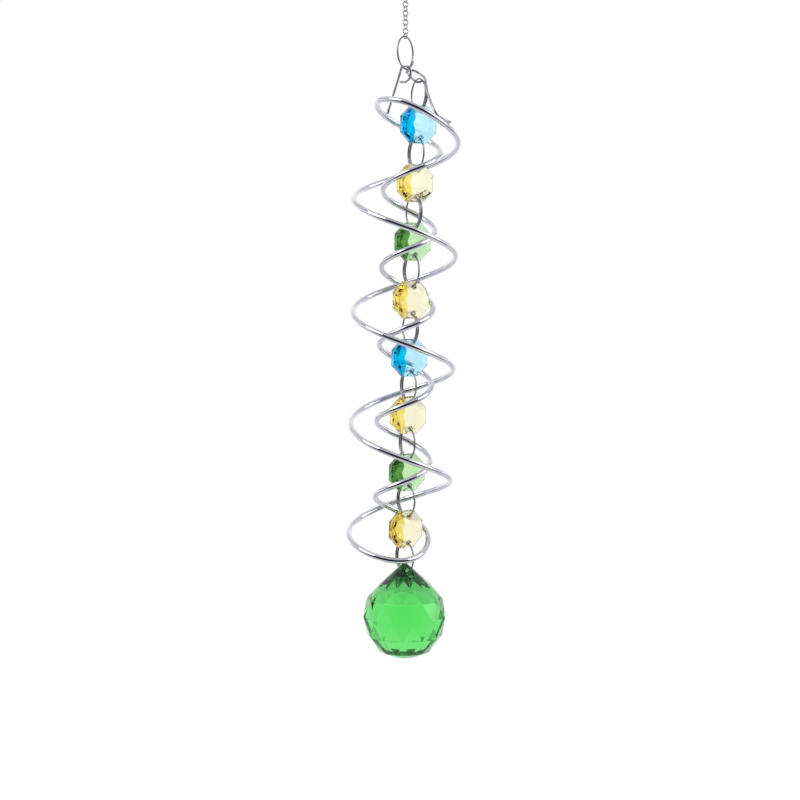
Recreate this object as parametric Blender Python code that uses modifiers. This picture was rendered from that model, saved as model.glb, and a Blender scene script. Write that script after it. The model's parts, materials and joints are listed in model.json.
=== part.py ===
"""Wind spinner: a wire spiral turning round a string of crystal beads.

Metres, +Z up, the front faces -Y. The origin is the hang point, at the inner
top of the hang ring. The swivel and chain hang plumb below it. The spiral and
the string hang from the top split ring's lowest point, the balance point, and
share a frame that leans by LEAN, because the spiral's eye is off its centre.
The ball hangs plumb again.
"""
import math

import bmesh
import bpy
from mathutils import Matrix, Vector

MM = 0.001
GAP = 0.25 * MM                     # air between two wires that rest on each other

# hang ring and swivel
HANG_RING_R = 7.4 * MM              # to the middle of the wire
HANG_RING_WIRE = 0.6 * MM           # wire radius
EYE_WIRE = 0.4 * MM
UPPER_EYE_R = 1.9 * MM
LOWER_EYE_R = 1.6 * MM
BARREL_R = 1.9 * MM
BARREL_BORE_R = 1.4 * MM
BARREL_LENGTH = 6.0 * MM
BARREL_LIP = 0.7 * MM
STEM_HOLE_R = 0.7 * MM
STEM_LENGTH = 1.4 * MM              # from an eye's wire to the barrel's end
HEAD_SWELL = 2.7                    # rivet head's radius over the stem's

# chain
LINK_COUNT = 10
LINK_PITCH = 1.56 * MM
LINK_WIRE = 0.17 * MM
LINK_GAP = 0.12 * MM
LINK_R = (LINK_PITCH + 2 * LINK_WIRE + LINK_GAP) / 2
ODD_LINK_TURN = math.radians(33)
EVEN_LINK_TURN = math.radians(-57)

# split rings
SPLIT_RING_R = 5.675 * MM
SPLIT_RING_WIRE = 0.325 * MM
SPLIT_RING_TURNS = 1.3
TOP_RING_TURNS = 1.13
TOP_RING_DOUBLED_AT = math.radians(-50)     # up from the ring's right side
SPLIT_RING_STEP = 0.74 * MM         # sideways travel of the wire in one turn
TOP_RING_STEP = -0.55 * MM
TOP_RING_TURN = math.radians(60)

# spiral: one closed wire, up the inner coil and down the outer one
LEAN = math.radians(1.2)
SPIRAL_WIRE = 1.05 * MM             # wire radius
OUTER_X = 1.15 * MM                 # the coils' axes, from the balance point
INNER_X = 2.3 * MM
OUTER_R = 18.15 * MM
INNER_R = 9.45 * MM
INNER_TURNS = 5
OUTER_TURNS = 3.5
INNER_LOW = -166.7 * MM
INNER_HIGH = -29.0 * MM
INNER_TIP = 0.3 * MM                # each inner turn dips this much to the right
OUTER_HIGH = -25.6 * MM
OUTER_LOW = -166.4 * MM
TOP_BULGE = 0.6 * MM                # the inner coil's last turn swells to the right
FOOT_FLARE = 0.6 * MM               # and its first turns swell this much to the left
FLARE_TURNS = 3
SPIRAL_STEPS = 24                   # points in one turn

# hangers: two bent wires from the balance point down to the spiral
HANGER_WIRE = 0.42 * MM
BACK_FOOT_TURN = 5.39
FRONT_FOOT_TURNS = (5.85, 5.87, 5.89, 5.905)
FRONT_FOOT_LIFT = (0.0, 0.0, 0.25 * MM, 0.9 * MM)

# string of beads
STRING_X = 3.55 * MM
STRING_BOW = 1.4 * MM               # its top bends this much to the right
STRING_BOW_POWER = 6
TURN = math.radians(27)             # the beads and the ball face this far to the right
LAST_BEAD_TURN = math.radians(36)
BEAD_COLOURS = ("blue", "yellow", "green", "yellow", "blue", "yellow", "green", "yellow")
BEAD_PITCH = 20.7 * MM
BEAD_ACROSS = 13.5 * MM
BEAD_RIM = 2.2 * MM
BEAD_THICK = 5.4 * MM
BEAD_TABLE_R = 3.3 * MM
BEAD_HOLE_R = 0.9 * MM
BEAD_HOLE_Z = BEAD_PITCH / 2 - SPLIT_RING_R
FIRST_BEAD_Z = -19.3 * MM
# the side where each ring's wire runs twice
DOUBLED_NEAR = (True, False, True, False, True, False, False, False, False)

# ball
BALL_SIDES = 12
BALL_TIP = 3.4 * MM                 # from the last ring's wire up to the tip
BALL_HOLE_R = 1.15 * MM
BALL_HOLE_DROP = 2.83 * MM
# rows of facet corners: depth below the tip, and radius
BALL_ROWS = ((0.0, 0.9), (7.5, 9.2), (12.7, 13.7), (19.0, 15.3),
             (26.2, 13.6), (32.0, 9.1), (33.9, 4.7))

STEEL = ((0.80, 0.81, 0.83), 1.0, 0.12)
NICKEL = ((0.62, 0.63, 0.65), 1.0, 0.22)
GLASS = {
    "blue": ((0.10, 0.55, 0.90), 0.0, 0.05),
    "yellow": ((0.93, 0.80, 0.25), 0.0, 0.05),
    "green": ((0.22, 0.60, 0.20), 0.0, 0.05),
    "emerald": ((0.12, 0.68, 0.22), 0.0, 0.05),
}


def clear_scene():
    for obj in list(bpy.data.objects):
        bpy.data.objects.remove(obj)


def make_collection(name):
    collection = bpy.data.collections.new(name)
    bpy.context.scene.collection.children.link(collection)
    return collection


def make_material(name, finish):
    colour, metallic, roughness = finish
    material = bpy.data.materials.new(name)
    material.use_nodes = True
    shader = material.node_tree.nodes["Principled BSDF"]
    shader.inputs["Base Color"].default_value = (*colour, 1.0)
    shader.inputs["Metallic"].default_value = metallic
    shader.inputs["Roughness"].default_value = roughness
    return material


def place(obj, pivot, finish, parent=None):
    """Put a piece in the model with its origin on its joint."""
    PARTS.objects.link(obj)
    obj.location = pivot
    obj.parent = parent
    obj.data.materials.clear()
    obj.data.materials.append(make_material(obj.name, finish))
    return obj


def heading(turn):
    """The level direction that lies turn round from +X."""
    return Vector((math.cos(turn), math.sin(turn), 0.0))


def add_wire(name, points, radius, pivot, finish, parent=None, closed=False, swell=None,
             resolution=1, twist="MINIMUM"):
    """A round wire along points; swell maps a point's number to its fatter radius."""
    curve = bpy.data.curves.new(name, "CURVE")
    curve.dimensions = "3D"
    curve.twist_mode = twist
    curve.bevel_depth = radius
    curve.bevel_resolution = resolution
    curve.use_fill_caps = not closed
    spline = curve.splines.new("POLY")
    spline.points.add(len(points) - 1)
    spline.use_cyclic_u = closed
    spline.use_smooth = True
    for number, (point, target) in enumerate(zip(points, spline.points)):
        target.co = (*(Vector(point) - Vector(pivot)), 1.0)
        target.radius = (swell or {}).get(number, 1.0)
    return place(bpy.data.objects.new(name, curve), pivot, finish, parent)


def circle(centre, radius, turn, start, end, steps):
    """Points on an upright circle; the angles run from its level direction upwards."""
    along = heading(turn)
    angles = [start + (end - start) * step / steps for step in range(steps + 1)]
    return [centre + radius * (math.cos(angle) * along + Vector((0, 0, math.sin(angle))))
            for angle in angles]


def closed_ring(name, centre, radius, wire, turn, pivot, finish, steps=16):
    points = circle(centre, radius, turn, 0.0, math.tau, steps)[:-1]
    return add_wire(name, points, wire, pivot, finish, closed=True)


def split_ring(name, centre, turn, doubled_at, turns, travel, pivot, parent=None, steps=26):
    """A ring wound a little more than once; its ends lie side by side about one angle."""
    start = doubled_at + (1.0 - turns) * math.pi
    points = circle(centre, SPLIT_RING_R, turn, start, start + turns * math.tau, steps)
    sideways = heading(turn + math.pi / 2)
    for step, point in enumerate(points):
        point += sideways * travel * turns * (step / steps - 0.5)
    add_wire(name, points, SPLIT_RING_WIRE, pivot, NICKEL, parent)


def smooth_path(stations, steps):
    """Points on a curve that passes smoothly through its stations."""
    points = []
    last = len(stations) - 1
    for number in range(last):
        before, start, end, after = (Vector(stations[min(max(number + i, 0), last)])
                                     for i in (-1, 0, 1, 2))
        for step in range(steps):
            t = step / steps
            points.append(0.5 * (2 * start + (end - before) * t
                                 + (2 * before - 5 * start + 4 * end - after) * t ** 2
                                 + (3 * start - before - 3 * end + after) * t ** 3))
    points.append(Vector(stations[last]))
    return points


def solid_of(obj):
    """The mesh of an object with its modifiers applied; the object goes."""
    depsgraph = bpy.context.evaluated_depsgraph_get()
    mesh = bpy.data.meshes.new_from_object(obj.evaluated_get(depsgraph))
    bpy.data.objects.remove(obj)
    return mesh


def hull(name, corners):
    """The faceted solid that spans a set of corners."""
    mesh = bpy.data.meshes.new(name)
    shape = bmesh.new()
    for corner in corners:
        shape.verts.new(corner)
    bmesh.ops.convex_hull(shape, input=shape.verts)
    bmesh.ops.recalc_face_normals(shape, faces=shape.faces)
    shape.to_mesh(mesh)
    shape.free()
    obj = bpy.data.objects.new(name, mesh)
    PARTS.objects.link(obj)
    return obj


def drill(obj, z, radius, length):
    """Bore a hole through a piece along its own Y."""
    cutter_mesh = bpy.data.meshes.new("drill")
    shape = bmesh.new()
    bmesh.ops.create_cone(shape, cap_ends=True, segments=16, radius1=radius, radius2=radius,
                          depth=length, matrix=Matrix.Rotation(math.pi / 2, 4, "X"))
    shape.to_mesh(cutter_mesh)
    shape.free()
    cutter = bpy.data.objects.new("drill", cutter_mesh)
    cutter.location.z = z
    cutter.hide_render = True
    cutter.display_type = "WIRE"
    CUTTERS.objects.link(cutter)
    cut = obj.modifiers.new("hole", "BOOLEAN")
    cut.object = cutter
    cut.operation = "DIFFERENCE"


def corner_ring(radius, sides, offset, to_point):
    """Corners evenly round a circle; offset is in steps."""
    for side in range(sides):
        angle = (side + offset) * math.tau / sides
        yield to_point(radius * math.cos(angle), radius * math.sin(angle))


# ---------------------------------------------------------------- hang ring and swivel

def build_hang_ring():
    centre = Vector((0, 0, HANG_RING_WIRE - HANG_RING_R))
    closed_ring("hang_ring", centre, HANG_RING_R, HANG_RING_WIRE, 0.0, Vector(), STEEL, 28)
    return centre.z - HANG_RING_R


def build_swivel(ring_bottom):
    """The upper eye, barrel and lower eye; gives the lower eye's lowest wire point."""
    eye_top = ring_bottom + HANG_RING_WIRE + EYE_WIRE + GAP
    eye_centre = Vector((0, 0, eye_top - UPPER_EYE_R))
    barrel_top = eye_centre.z - UPPER_EYE_R - STEM_LENGTH
    barrel_bottom = barrel_top - BARREL_LENGTH
    head_inset = BARREL_LIP + GAP + EYE_WIRE

    # the head's flat end cap faces the middle of the barrel
    stem = [Vector((0, 0, barrel_top - head_inset + step)) for step in (-EYE_WIRE, EYE_WIRE)]
    stem += [Vector((0, 0, barrel_top - BARREL_LIP)), Vector((0, 0, barrel_top + STEM_LENGTH / 2))]
    eye = circle(eye_centre, UPPER_EYE_R, math.pi / 2, -math.pi / 2, 1.2 * math.pi, 16)
    add_wire("swivel_upper_eye", stem + eye, EYE_WIRE, Vector((0, 0, ring_bottom)), STEEL,
             swell={0: HEAD_SWELL, 1: HEAD_SWELL})

    # the barrel's wall, turned round the spin axis
    profile = ((STEM_HOLE_R, 0.0), (BARREL_R * 0.7, 0.0), (BARREL_R, -BARREL_LIP),
               (BARREL_R, BARREL_LIP - BARREL_LENGTH), (BARREL_R * 0.7, -BARREL_LENGTH),
               (STEM_HOLE_R, -BARREL_LENGTH), (STEM_HOLE_R, BARREL_LIP - BARREL_LENGTH),
               (BARREL_BORE_R, BARREL_LIP - BARREL_LENGTH), (BARREL_BORE_R, -BARREL_LIP),
               (STEM_HOLE_R, -BARREL_LIP))
    mesh = bpy.data.meshes.new("swivel_barrel")
    shape = bmesh.new()
    verts = [shape.verts.new((radius, 0.0, barrel_top + z - ring_bottom)) for radius, z in profile]
    for start, end in zip(verts, verts[1:] + verts[:1]):
        shape.edges.new((start, end))
    shape.to_mesh(mesh)
    shape.free()
    barrel = place(bpy.data.objects.new("swivel_barrel", mesh), (0, 0, ring_bottom), STEEL)
    turn = barrel.modifiers.new("turned", "SCREW")
    turn.steps = 20
    turn.render_steps = 20
    turn.use_merge_vertices = True
    turn.merge_threshold = 0.01 * MM

    low_centre = Vector((0, 0, barrel_bottom - STEM_LENGTH - LOWER_EYE_R))
    stem = [Vector((0, 0, barrel_bottom + head_inset + step)) for step in (EYE_WIRE, -EYE_WIRE)]
    stem += [Vector((0, 0, barrel_bottom + BARREL_LIP)),
             Vector((0, 0, barrel_bottom - STEM_LENGTH / 2))]
    eye = circle(low_centre, LOWER_EYE_R, EVEN_LINK_TURN, math.pi / 2, 2.2 * math.pi, 16)
    add_wire("swivel_lower_eye", stem + eye, EYE_WIRE, Vector((0, 0, barrel_bottom)), STEEL,
             swell={0: HEAD_SWELL, 1: HEAD_SWELL})
    return low_centre.z - LOWER_EYE_R


# ---------------------------------------------------------------- chain and top ring

def build_chain(hook_z):
    """Hang the links one below another; gives the last link's lowest wire point."""
    hook_wire = EYE_WIRE
    for number in range(1, LINK_COUNT + 1):
        centre = Vector((0, 0, hook_z + hook_wire + LINK_WIRE + LINK_GAP - LINK_R))
        turn = ODD_LINK_TURN if number % 2 else EVEN_LINK_TURN
        closed_ring(f"chain_link_{number:02d}", centre, LINK_R, LINK_WIRE, turn,
                    Vector((0, 0, hook_z)), NICKEL)
        hook_z = centre.z - LINK_R
        hook_wire = LINK_WIRE
    return hook_z


def build_top_ring(hook_z):
    centre = Vector((0, 0, hook_z + LINK_WIRE + SPLIT_RING_WIRE + GAP - SPLIT_RING_R))
    split_ring("top_split_ring", centre, TOP_RING_TURN, TOP_RING_DOUBLED_AT, TOP_RING_TURNS,
               TOP_RING_STEP, Vector((0, 0, hook_z)))
    return centre.z - SPLIT_RING_R


# ---------------------------------------------------------------- spiral and hangers

def spiral_stations():
    """Turn number, height, radius and axis offset of the wire's middle line."""
    def inner(turn):
        height = INNER_LOW + (INNER_HIGH - INNER_LOW) * turn / INNER_TURNS
        flare = FOOT_FLARE * max(0.0, 1.0 - turn / FLARE_TURNS)
        return (turn, height, INNER_R + flare, INNER_X - flare)

    def outer(turn):
        share = (turn - INNER_TURNS - 1) / OUTER_TURNS
        return (turn, OUTER_HIGH + (OUTER_LOW - OUTER_HIGH) * share, OUTER_R, OUTER_X)

    climb = [inner(turn) for turn in range(INNER_TURNS)]
    climb.append((INNER_TURNS, INNER_HIGH, INNER_R + TOP_BULGE, INNER_X + TOP_BULGE))
    over_the_top = [(5.25, -20.8 * MM, 10.2 * MM, 2.0 * MM), (5.5, -13.3 * MM, 11.5 * MM, 1.7 * MM),
                    (5.62, -11.6 * MM, 12.8 * MM, 1.6 * MM), (5.75, -13.4 * MM, 14.6 * MM, 1.5 * MM)]
    descent = [outer(turn) for turn in (6.0, 7.0, 8.0, 9.0, 9.5)]
    under = [(9.75, -173.3 * MM, 14.4 * MM, 1.6 * MM)]
    return climb + over_the_top + descent + under


def spiral_point(turn):
    """Where the spiral's middle line is, turn turns up from the inner coil's foot."""
    stations = spiral_stations()
    period = INNER_TURNS + 5
    turn %= period
    count = len(stations)
    wrapped = ([(s[0] - period, *s[1:]) for s in stations] + stations
               + [(s[0] + period, *s[1:]) for s in stations])
    index = count + max(i for i in range(count) if stations[i][0] <= turn)
    before, start, end, after = wrapped[index - 1:index + 3]
    span = end[0] - start[0]
    t = (turn - start[0]) / span
    values = []
    for before_v, start_v, end_v, after_v in zip(before[1:], start[1:], end[1:], after[1:]):
        leave = (end_v - before_v) / (end[0] - before[0]) * span
        arrive = (after_v - start_v) / (after[0] - start[0]) * span
        values.append((2 * t ** 3 - 3 * t ** 2 + 1) * start_v + (t ** 3 - 2 * t ** 2 + t) * leave
                      + (3 * t ** 2 - 2 * t ** 3) * end_v + (t ** 3 - t ** 2) * arrive)
    height, radius, axis_x = values
    angle = math.tau * turn
    inner_share = max(0.0, 1.0 - abs(turn - INNER_TURNS / 2) / (INNER_TURNS / 2)) ** 0.25
    height -= INNER_TIP * math.cos(angle) * inner_share
    return Vector((axis_x + radius * math.cos(angle), radius * math.sin(angle), height))


def above_strand(turn, distance):
    """A point square off the strand at a turn, on its upper side."""
    ahead = (spiral_point(turn + 0.005) - spiral_point(turn - 0.005)).normalized()
    up = Vector((0, 0, 1))
    normal = (up - ahead * up.dot(ahead)).normalized()
    return spiral_point(turn) + normal * distance


def build_spiral(frame):
    count = SPIRAL_STEPS * (INNER_TURNS + 5)
    points = [spiral_point(step / SPIRAL_STEPS) for step in range(count)]
    add_wire("spiral_wire", points, SPIRAL_WIRE, Vector(), STEEL, frame, closed=True,
             resolution=2, twist="Z_UP")


def build_hangers(frame):
    """Two bent wires whose eyes link at the balance point, brazed to the spiral."""
    resting = SPIRAL_WIRE + HANGER_WIRE + GAP
    back_eye = [(-1.33, 0.5, 0.6), (0.1, -0.05, 1.02), (1.45, -0.6, 0.25), (1.9, -0.68, -1.2),
                (1.6, -0.6, -2.9), (0.7, -0.3, -4.1), (-0.55, 0.5, -4.5), (-1.95, 1.75, -4.3)]
    foot = above_strand(BACK_FOOT_TURN, resting + 0.1 * MM)
    knee = Vector(back_eye[0]) * MM
    stations = [foot, foot.lerp(knee, 0.45), foot.lerp(knee, 0.85)]
    stations += [Vector(point) * MM for point in back_eye]
    add_wire("hanger_wire_back", smooth_path(stations, 4), HANGER_WIRE, Vector(), STEEL, frame)

    front_eye = [(6.2, -0.3, -3.8), (5.4, -0.35, -4.35), (4.4, -0.4, -4.5), (3.1, -1.1, -3.9),
                 (1.7, -1.8, -2.7), (0.8, -1.3, -1.7), (0.45, -0.25, -1.0), (1.5, 0.65, -0.4),
                 (2.7, 0.9, -0.3), (4.0, 0.5, -0.8), (5.6, -0.3, -1.9), (6.7, -2.4, -3.1),
                 (7.2, -5.2, -4.9), (7.5, -7.4, -7.6), (8.7, -10.0, -11.3), (9.9, -12.3, -14.5)]
    stations = [Vector(point) * MM for point in front_eye]
    stations += [above_strand(turn, resting + lift)
                 for turn, lift in zip(FRONT_FOOT_TURNS, FRONT_FOOT_LIFT)]
    add_wire("hanger_wire_front", smooth_path(stations, 3), HANGER_WIRE, Vector(), STEEL, frame)


# ---------------------------------------------------------------- string of beads

def bead_mesh():
    """An eight-sided bead with a flat table each side and two holes."""
    def corner(y):
        return lambda x, z: (x, y, z)

    rim_r = BEAD_ACROSS / 2 / math.cos(math.pi / 8)
    corners = []
    for side in (-1, 1):
        corners += corner_ring(BEAD_TABLE_R, 8, 0.0, corner(side * BEAD_THICK / 2))
        corners += corner_ring(rim_r, 8, 0.5, corner(side * BEAD_RIM / 2))
    bead = hull("bead", corners)
    for side in (-1, 1):
        drill(bead, side * BEAD_HOLE_Z, BEAD_HOLE_R, 3 * BEAD_THICK)
    mesh = solid_of(bead)
    mesh.transform(Matrix.Translation((0, 0, -BEAD_HOLE_Z)))
    return mesh


def string_point(depth):
    """A point on the string, depth below the balance point."""
    share = min(1.0, max(0.0, (depth + FIRST_BEAD_Z) / (len(BEAD_COLOURS) * BEAD_PITCH)))
    return Vector((STRING_X + STRING_BOW * (1.0 - share) ** STRING_BOW_POWER, 0, -depth))


def build_string(frame):
    """Rings and beads in turn; gives the last ring's lowest wire point."""
    shape = bead_mesh()
    up = Vector((0, 0, SPLIT_RING_R))
    turns = [TURN] * (len(BEAD_COLOURS) - 1) + [LAST_BEAD_TURN, TURN]
    for number, near in enumerate(DOUBLED_NEAR):
        ring_centre = string_point((number - 0.5) * BEAD_PITCH - FIRST_BEAD_Z)
        ring_turn = (turns[number] + turns[max(number - 1, 0)]) / 2 - math.pi / 2
        split_ring(f"split_ring_{number + 1}", ring_centre, ring_turn, 0.0 if near else math.pi,
                   SPLIT_RING_TURNS, SPLIT_RING_STEP, ring_centre + up, frame)
        if number < len(BEAD_COLOURS):
            colour = BEAD_COLOURS[number]
            bead = bpy.data.objects.new(f"bead_{number + 1}_{colour}", shape.copy())
            hole = string_point(number * BEAD_PITCH - FIRST_BEAD_Z) + Vector((0, 0, BEAD_HOLE_Z))
            place(bead, hole, GLASS[colour], frame).rotation_euler.z = turns[number]
    return ring_centre - up


def build_ball(hook):
    """The faceted ball, its origin on the ring's wire in its tip."""
    def corner(z):
        return lambda x, y: (x, y, z)

    corners = []
    for row, (depth, radius) in enumerate(BALL_ROWS):
        corners += corner_ring(radius * MM, BALL_SIDES, row % 2 / 2, corner(BALL_TIP - depth * MM))
    ball = hull("ball", corners)
    drill(ball, BALL_TIP - BALL_HOLE_DROP, BALL_HOLE_R, 3 * BALL_ROWS[1][1] * MM)
    mesh = solid_of(ball)
    place(bpy.data.objects.new("crystal_ball", mesh), hook, GLASS["emerald"]).rotation_euler.z = TURN


clear_scene()
PARTS = make_collection("wind_spinner")
CUTTERS = make_collection("cutters")
lowest = build_chain(build_swivel(build_hang_ring()))
balance = Vector((0, 0, build_top_ring(lowest)))
leaning = bpy.data.objects.new("leaning_frame", None)
PARTS.objects.link(leaning)
leaning.location = balance
leaning.rotation_euler.y = LEAN
build_spiral(leaning)
build_hangers(leaning)
last_hook = build_string(leaning)
build_ball(Matrix.Translation(balance) @ Matrix.Rotation(LEAN, 4, "Y") @ last_hook)
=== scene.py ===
"""Wind spinner: the finished pieces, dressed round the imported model.

A polished wire spiral hangs from a swivel and a fine chain, with a string of
crystal beads and a crystal ball inside it. Metres, +Z up, the front faces -Y.
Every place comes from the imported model's joints; sizes are in millimetres in
the classes and turned into metres where a mesh is made.
"""
from __future__ import annotations

import json
import logging
import math
from dataclasses import dataclass, field
from enum import Enum
from typing import Any, Iterator, Mapping, Sequence

import bmesh
import bpy
from mathutils import Matrix, Vector


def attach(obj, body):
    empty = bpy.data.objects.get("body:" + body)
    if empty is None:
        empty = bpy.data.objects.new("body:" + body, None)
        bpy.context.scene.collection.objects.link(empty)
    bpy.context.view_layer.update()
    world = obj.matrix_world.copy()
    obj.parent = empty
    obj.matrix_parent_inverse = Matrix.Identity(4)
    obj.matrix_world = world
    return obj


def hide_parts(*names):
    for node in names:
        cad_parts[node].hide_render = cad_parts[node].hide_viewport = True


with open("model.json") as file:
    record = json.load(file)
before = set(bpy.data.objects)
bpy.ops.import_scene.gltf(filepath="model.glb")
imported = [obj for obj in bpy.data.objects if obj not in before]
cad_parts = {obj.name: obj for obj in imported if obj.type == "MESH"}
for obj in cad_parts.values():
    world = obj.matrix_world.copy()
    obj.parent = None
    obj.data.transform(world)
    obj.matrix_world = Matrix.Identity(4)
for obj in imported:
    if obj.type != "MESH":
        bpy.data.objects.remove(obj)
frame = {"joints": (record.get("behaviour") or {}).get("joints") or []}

MM = 0.001
LOG = logging.getLogger("wind_spinner")


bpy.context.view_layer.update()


def add_object(name: str, data: bpy.types.ID) -> bpy.types.Object:
    """Put a new object in the scene."""
    made = bpy.data.objects.new(name, data)
    bpy.context.scene.collection.objects.link(made)
    return made


def plain_mesh(name: str, shape: bmesh.types.BMesh) -> bpy.types.Mesh:
    """A new mesh from a worked shape, which is freed."""
    mesh = bpy.data.meshes.new(name)
    shape.to_mesh(mesh)
    shape.free()
    return mesh


def evaluated(thing: bpy.types.Object) -> bpy.types.Mesh:
    """A new mesh of an object with its modifiers applied."""
    depsgraph = bpy.context.evaluated_depsgraph_get()
    return bpy.data.meshes.new_from_object(thing.evaluated_get(depsgraph))


def aimed(place: Vector, target: Vector) -> Matrix:
    """Where a camera or lamp stands at a place, looking at a target."""
    aim = (target - place).to_track_quat("-Z", "Y").to_matrix().to_4x4()
    return Matrix.Translation(place) @ aim


# ------------------------------------------------------------------ nodes

class Sock:
    """An output socket that takes part in Python sums."""

    def __init__(self, graph: "Graph", socket: bpy.types.NodeSocket | None) -> None:
        """Wrap a socket.

        Args:
            graph: the tree's node maker.
            socket: the output to wrap, or None on a node that has none.
        """
        self.graph = graph
        self.socket = socket

    def other(self, name: str | int) -> "Sock":
        """Another output of the same node."""
        return Sock(self.graph, self.socket.node.outputs[name])

    def math(self, operation: str, first: Any, second: Any = 0.0) -> "Sock":
        """A Math node on one or two values."""
        return self.graph.node("ShaderNodeMath", {"operation": operation},
                               {0: first, 1: second})

    def __add__(self, value: Any) -> "Sock":
        """This plus a value."""
        return self.math("ADD", self, value)

    def __radd__(self, value: Any) -> "Sock":
        """A value plus this."""
        return self.math("ADD", value, self)

    def __sub__(self, value: Any) -> "Sock":
        """This less a value."""
        return self.math("SUBTRACT", self, value)

    def __rsub__(self, value: Any) -> "Sock":
        """A value less this."""
        return self.math("SUBTRACT", value, self)

    def __mul__(self, value: Any) -> "Sock":
        """This times a value."""
        return self.math("MULTIPLY", self, value)

    def __rmul__(self, value: Any) -> "Sock":
        """A value times this."""
        return self.math("MULTIPLY", value, self)

    def __truediv__(self, value: Any) -> "Sock":
        """This over a value."""
        return self.math("DIVIDE", self, value)

    def __rtruediv__(self, value: Any) -> "Sock":
        """A value over this."""
        return self.math("DIVIDE", value, self)

    def __abs__(self) -> "Sock":
        """This without its sign."""
        return self.math("ABSOLUTE", self)

    def __pow__(self, value: Any) -> "Sock":
        """This to a power."""
        return self.math("POWER", self, value)

    def lesser(self, value: Any) -> "Sock":
        """The lesser of this and a value."""
        return self.math("MINIMUM", self, value)

    def greater(self, value: Any) -> "Sock":
        """The greater of this and a value."""
        return self.math("MAXIMUM", self, value)

    def ease(self, low: float, high: float) -> "Sock":
        """A smooth rise from 0 at low to 1 at high.

        Args:
            low: the value that gives 0.
            high: the value that gives 1.

        Returns:
            The eased value.
        """
        return self.graph.node("ShaderNodeMapRange", {"interpolation_type": "SMOOTHSTEP"},
                               {"Value": self, "From Min": low, "From Max": high})


class Graph:
    """Makes and links the nodes of one tree."""

    MIX_FACTOR, MIX_A, MIX_B, MIX_RESULT = 0, 6, 7, 2

    def __init__(self, tree: bpy.types.NodeTree) -> None:
        """Start on a tree, which may hold nodes already."""
        self.tree = tree

    def node(self, kind: str, settings: Mapping[str, Any] | None = None,
             sockets: Mapping[str | int, Any] | None = None, output: str | int = 0) -> Sock:
        """Add a node.

        Args:
            kind: the node's type.
            settings: its properties.
            sockets: a value or a Sock for each input, by name or number.
            output: which output to give back.

        Returns:
            The chosen output.
        """
        made = self.tree.nodes.new(kind)
        for name, value in (settings or {}).items():
            setattr(made, name, value)
        for key, value in (sockets or {}).items():
            self.feed(made.inputs[key], value)
        return Sock(self, made.outputs[output] if len(made.outputs) else None)

    def feed(self, socket: bpy.types.NodeSocket, value: Any) -> None:
        """Link a Sock to an input, or set the input's own value."""
        if isinstance(value, Sock):
            self.tree.links.new(value.socket, socket)
        else:
            socket.default_value = value

    def mix(self, factor: Any, first: Any, second: Any) -> Sock:
        """A colour between two colours."""
        return self.node("ShaderNodeMix", {"data_type": "RGBA"},
                         {self.MIX_FACTOR: factor, self.MIX_A: first, self.MIX_B: second},
                         self.MIX_RESULT)

    def noise(self, where: Sock, scale: float, detail: float = 2.0) -> Sock:
        """A noise value about 0.5.

        Args:
            where: the coordinates.
            scale: repeats in a metre.
            detail: octaves.

        Returns:
            The noise's value.
        """
        return self.node("ShaderNodeTexNoise", {}, {"Vector": where, "Scale": scale,
                                                    "Detail": detail})


class SurfaceGraph(Graph):
    """The nodes of one material, with its shader."""

    def __init__(self, name: str) -> None:
        """Make the material."""
        self.material = bpy.data.materials.new(name)
        self.material.use_nodes = True
        super().__init__(self.material.node_tree)
        self.shader = self.tree.nodes["Principled BSDF"]
        self.place = self.node("ShaderNodeTexCoord").other("Object")

    def attribute(self, name: str) -> Sock:
        """A number that the mesh carries."""
        return self.node("ShaderNodeAttribute", {"attribute_name": name}).other("Fac")

    def dress(self, **values: Any) -> None:
        """Feed the shader's inputs; Base_Color stands for Base Color."""
        for name, value in values.items():
            self.feed(self.shader.inputs[name.replace("_", " ")], value)

    def relief(self, height: Sock, strength: float, depth: float) -> None:
        """Bump the surface.

        Args:
            height: how high it stands, from 0 to 1.
            strength: how much of the bump shows.
            depth: the height's span in metres.
        """
        self.dress(Normal=self.node("ShaderNodeBump", {}, {
            "Strength": strength, "Distance": depth, "Height": height}))


class GeometryTree(Graph):
    """A Geometry Nodes tree with named inputs, run on a scratch object."""

    def __init__(self, name: str, inputs: Mapping[str, tuple[str, Any]]) -> None:
        """Make the group and its sockets.

        Args:
            name: the group's name.
            inputs: each input's name, with its kind and default.
        """
        group = bpy.data.node_groups.new(name, "GeometryNodeTree")
        super().__init__(group)
        group.interface.new_socket("Geometry", in_out="INPUT", socket_type="NodeSocketGeometry")
        group.interface.new_socket("Geometry", in_out="OUTPUT", socket_type="NodeSocketGeometry")
        self.identifiers: dict[str, str] = {}
        for label, (kind, default) in inputs.items():
            item = group.interface.new_socket(label, in_out="INPUT",
                                              socket_type=f"NodeSocket{kind}")
            if default is not None:
                item.default_value = default
            self.identifiers[label] = item.identifier
        self.inlet = self.node("NodeGroupInput")

    def given(self, label: str) -> Sock:
        """One of the tree's named inputs."""
        return self.inlet.other(label)

    def close(self, geometry: Sock) -> None:
        """Realize the instances, set the material and end the tree."""
        real = self.node("GeometryNodeRealizeInstances", {}, {"Geometry": geometry})
        dressed = self.node("GeometryNodeSetMaterial", {},
                            {"Geometry": real, "Material": self.given("Material")})
        self.node("NodeGroupOutput", {}, {0: dressed})

    def run(self, base: bpy.types.Mesh, values: Mapping[str, Any]) -> bpy.types.Mesh:
        """Evaluate the tree on a mesh.

        Args:
            base: the mesh that the tree starts from.
            values: the named inputs' values.

        Returns:
            The result as a plain mesh.
        """
        scratch = add_object("scratch", base)
        modifier = scratch.modifiers.new("tree", "NODES")
        modifier.node_group = self.tree
        for label, value in values.items():
            modifier[self.identifiers[label]] = value
        mesh = evaluated(scratch)
        scratch.modifiers.remove(modifier)
        bpy.data.objects.remove(scratch)
        return mesh


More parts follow.
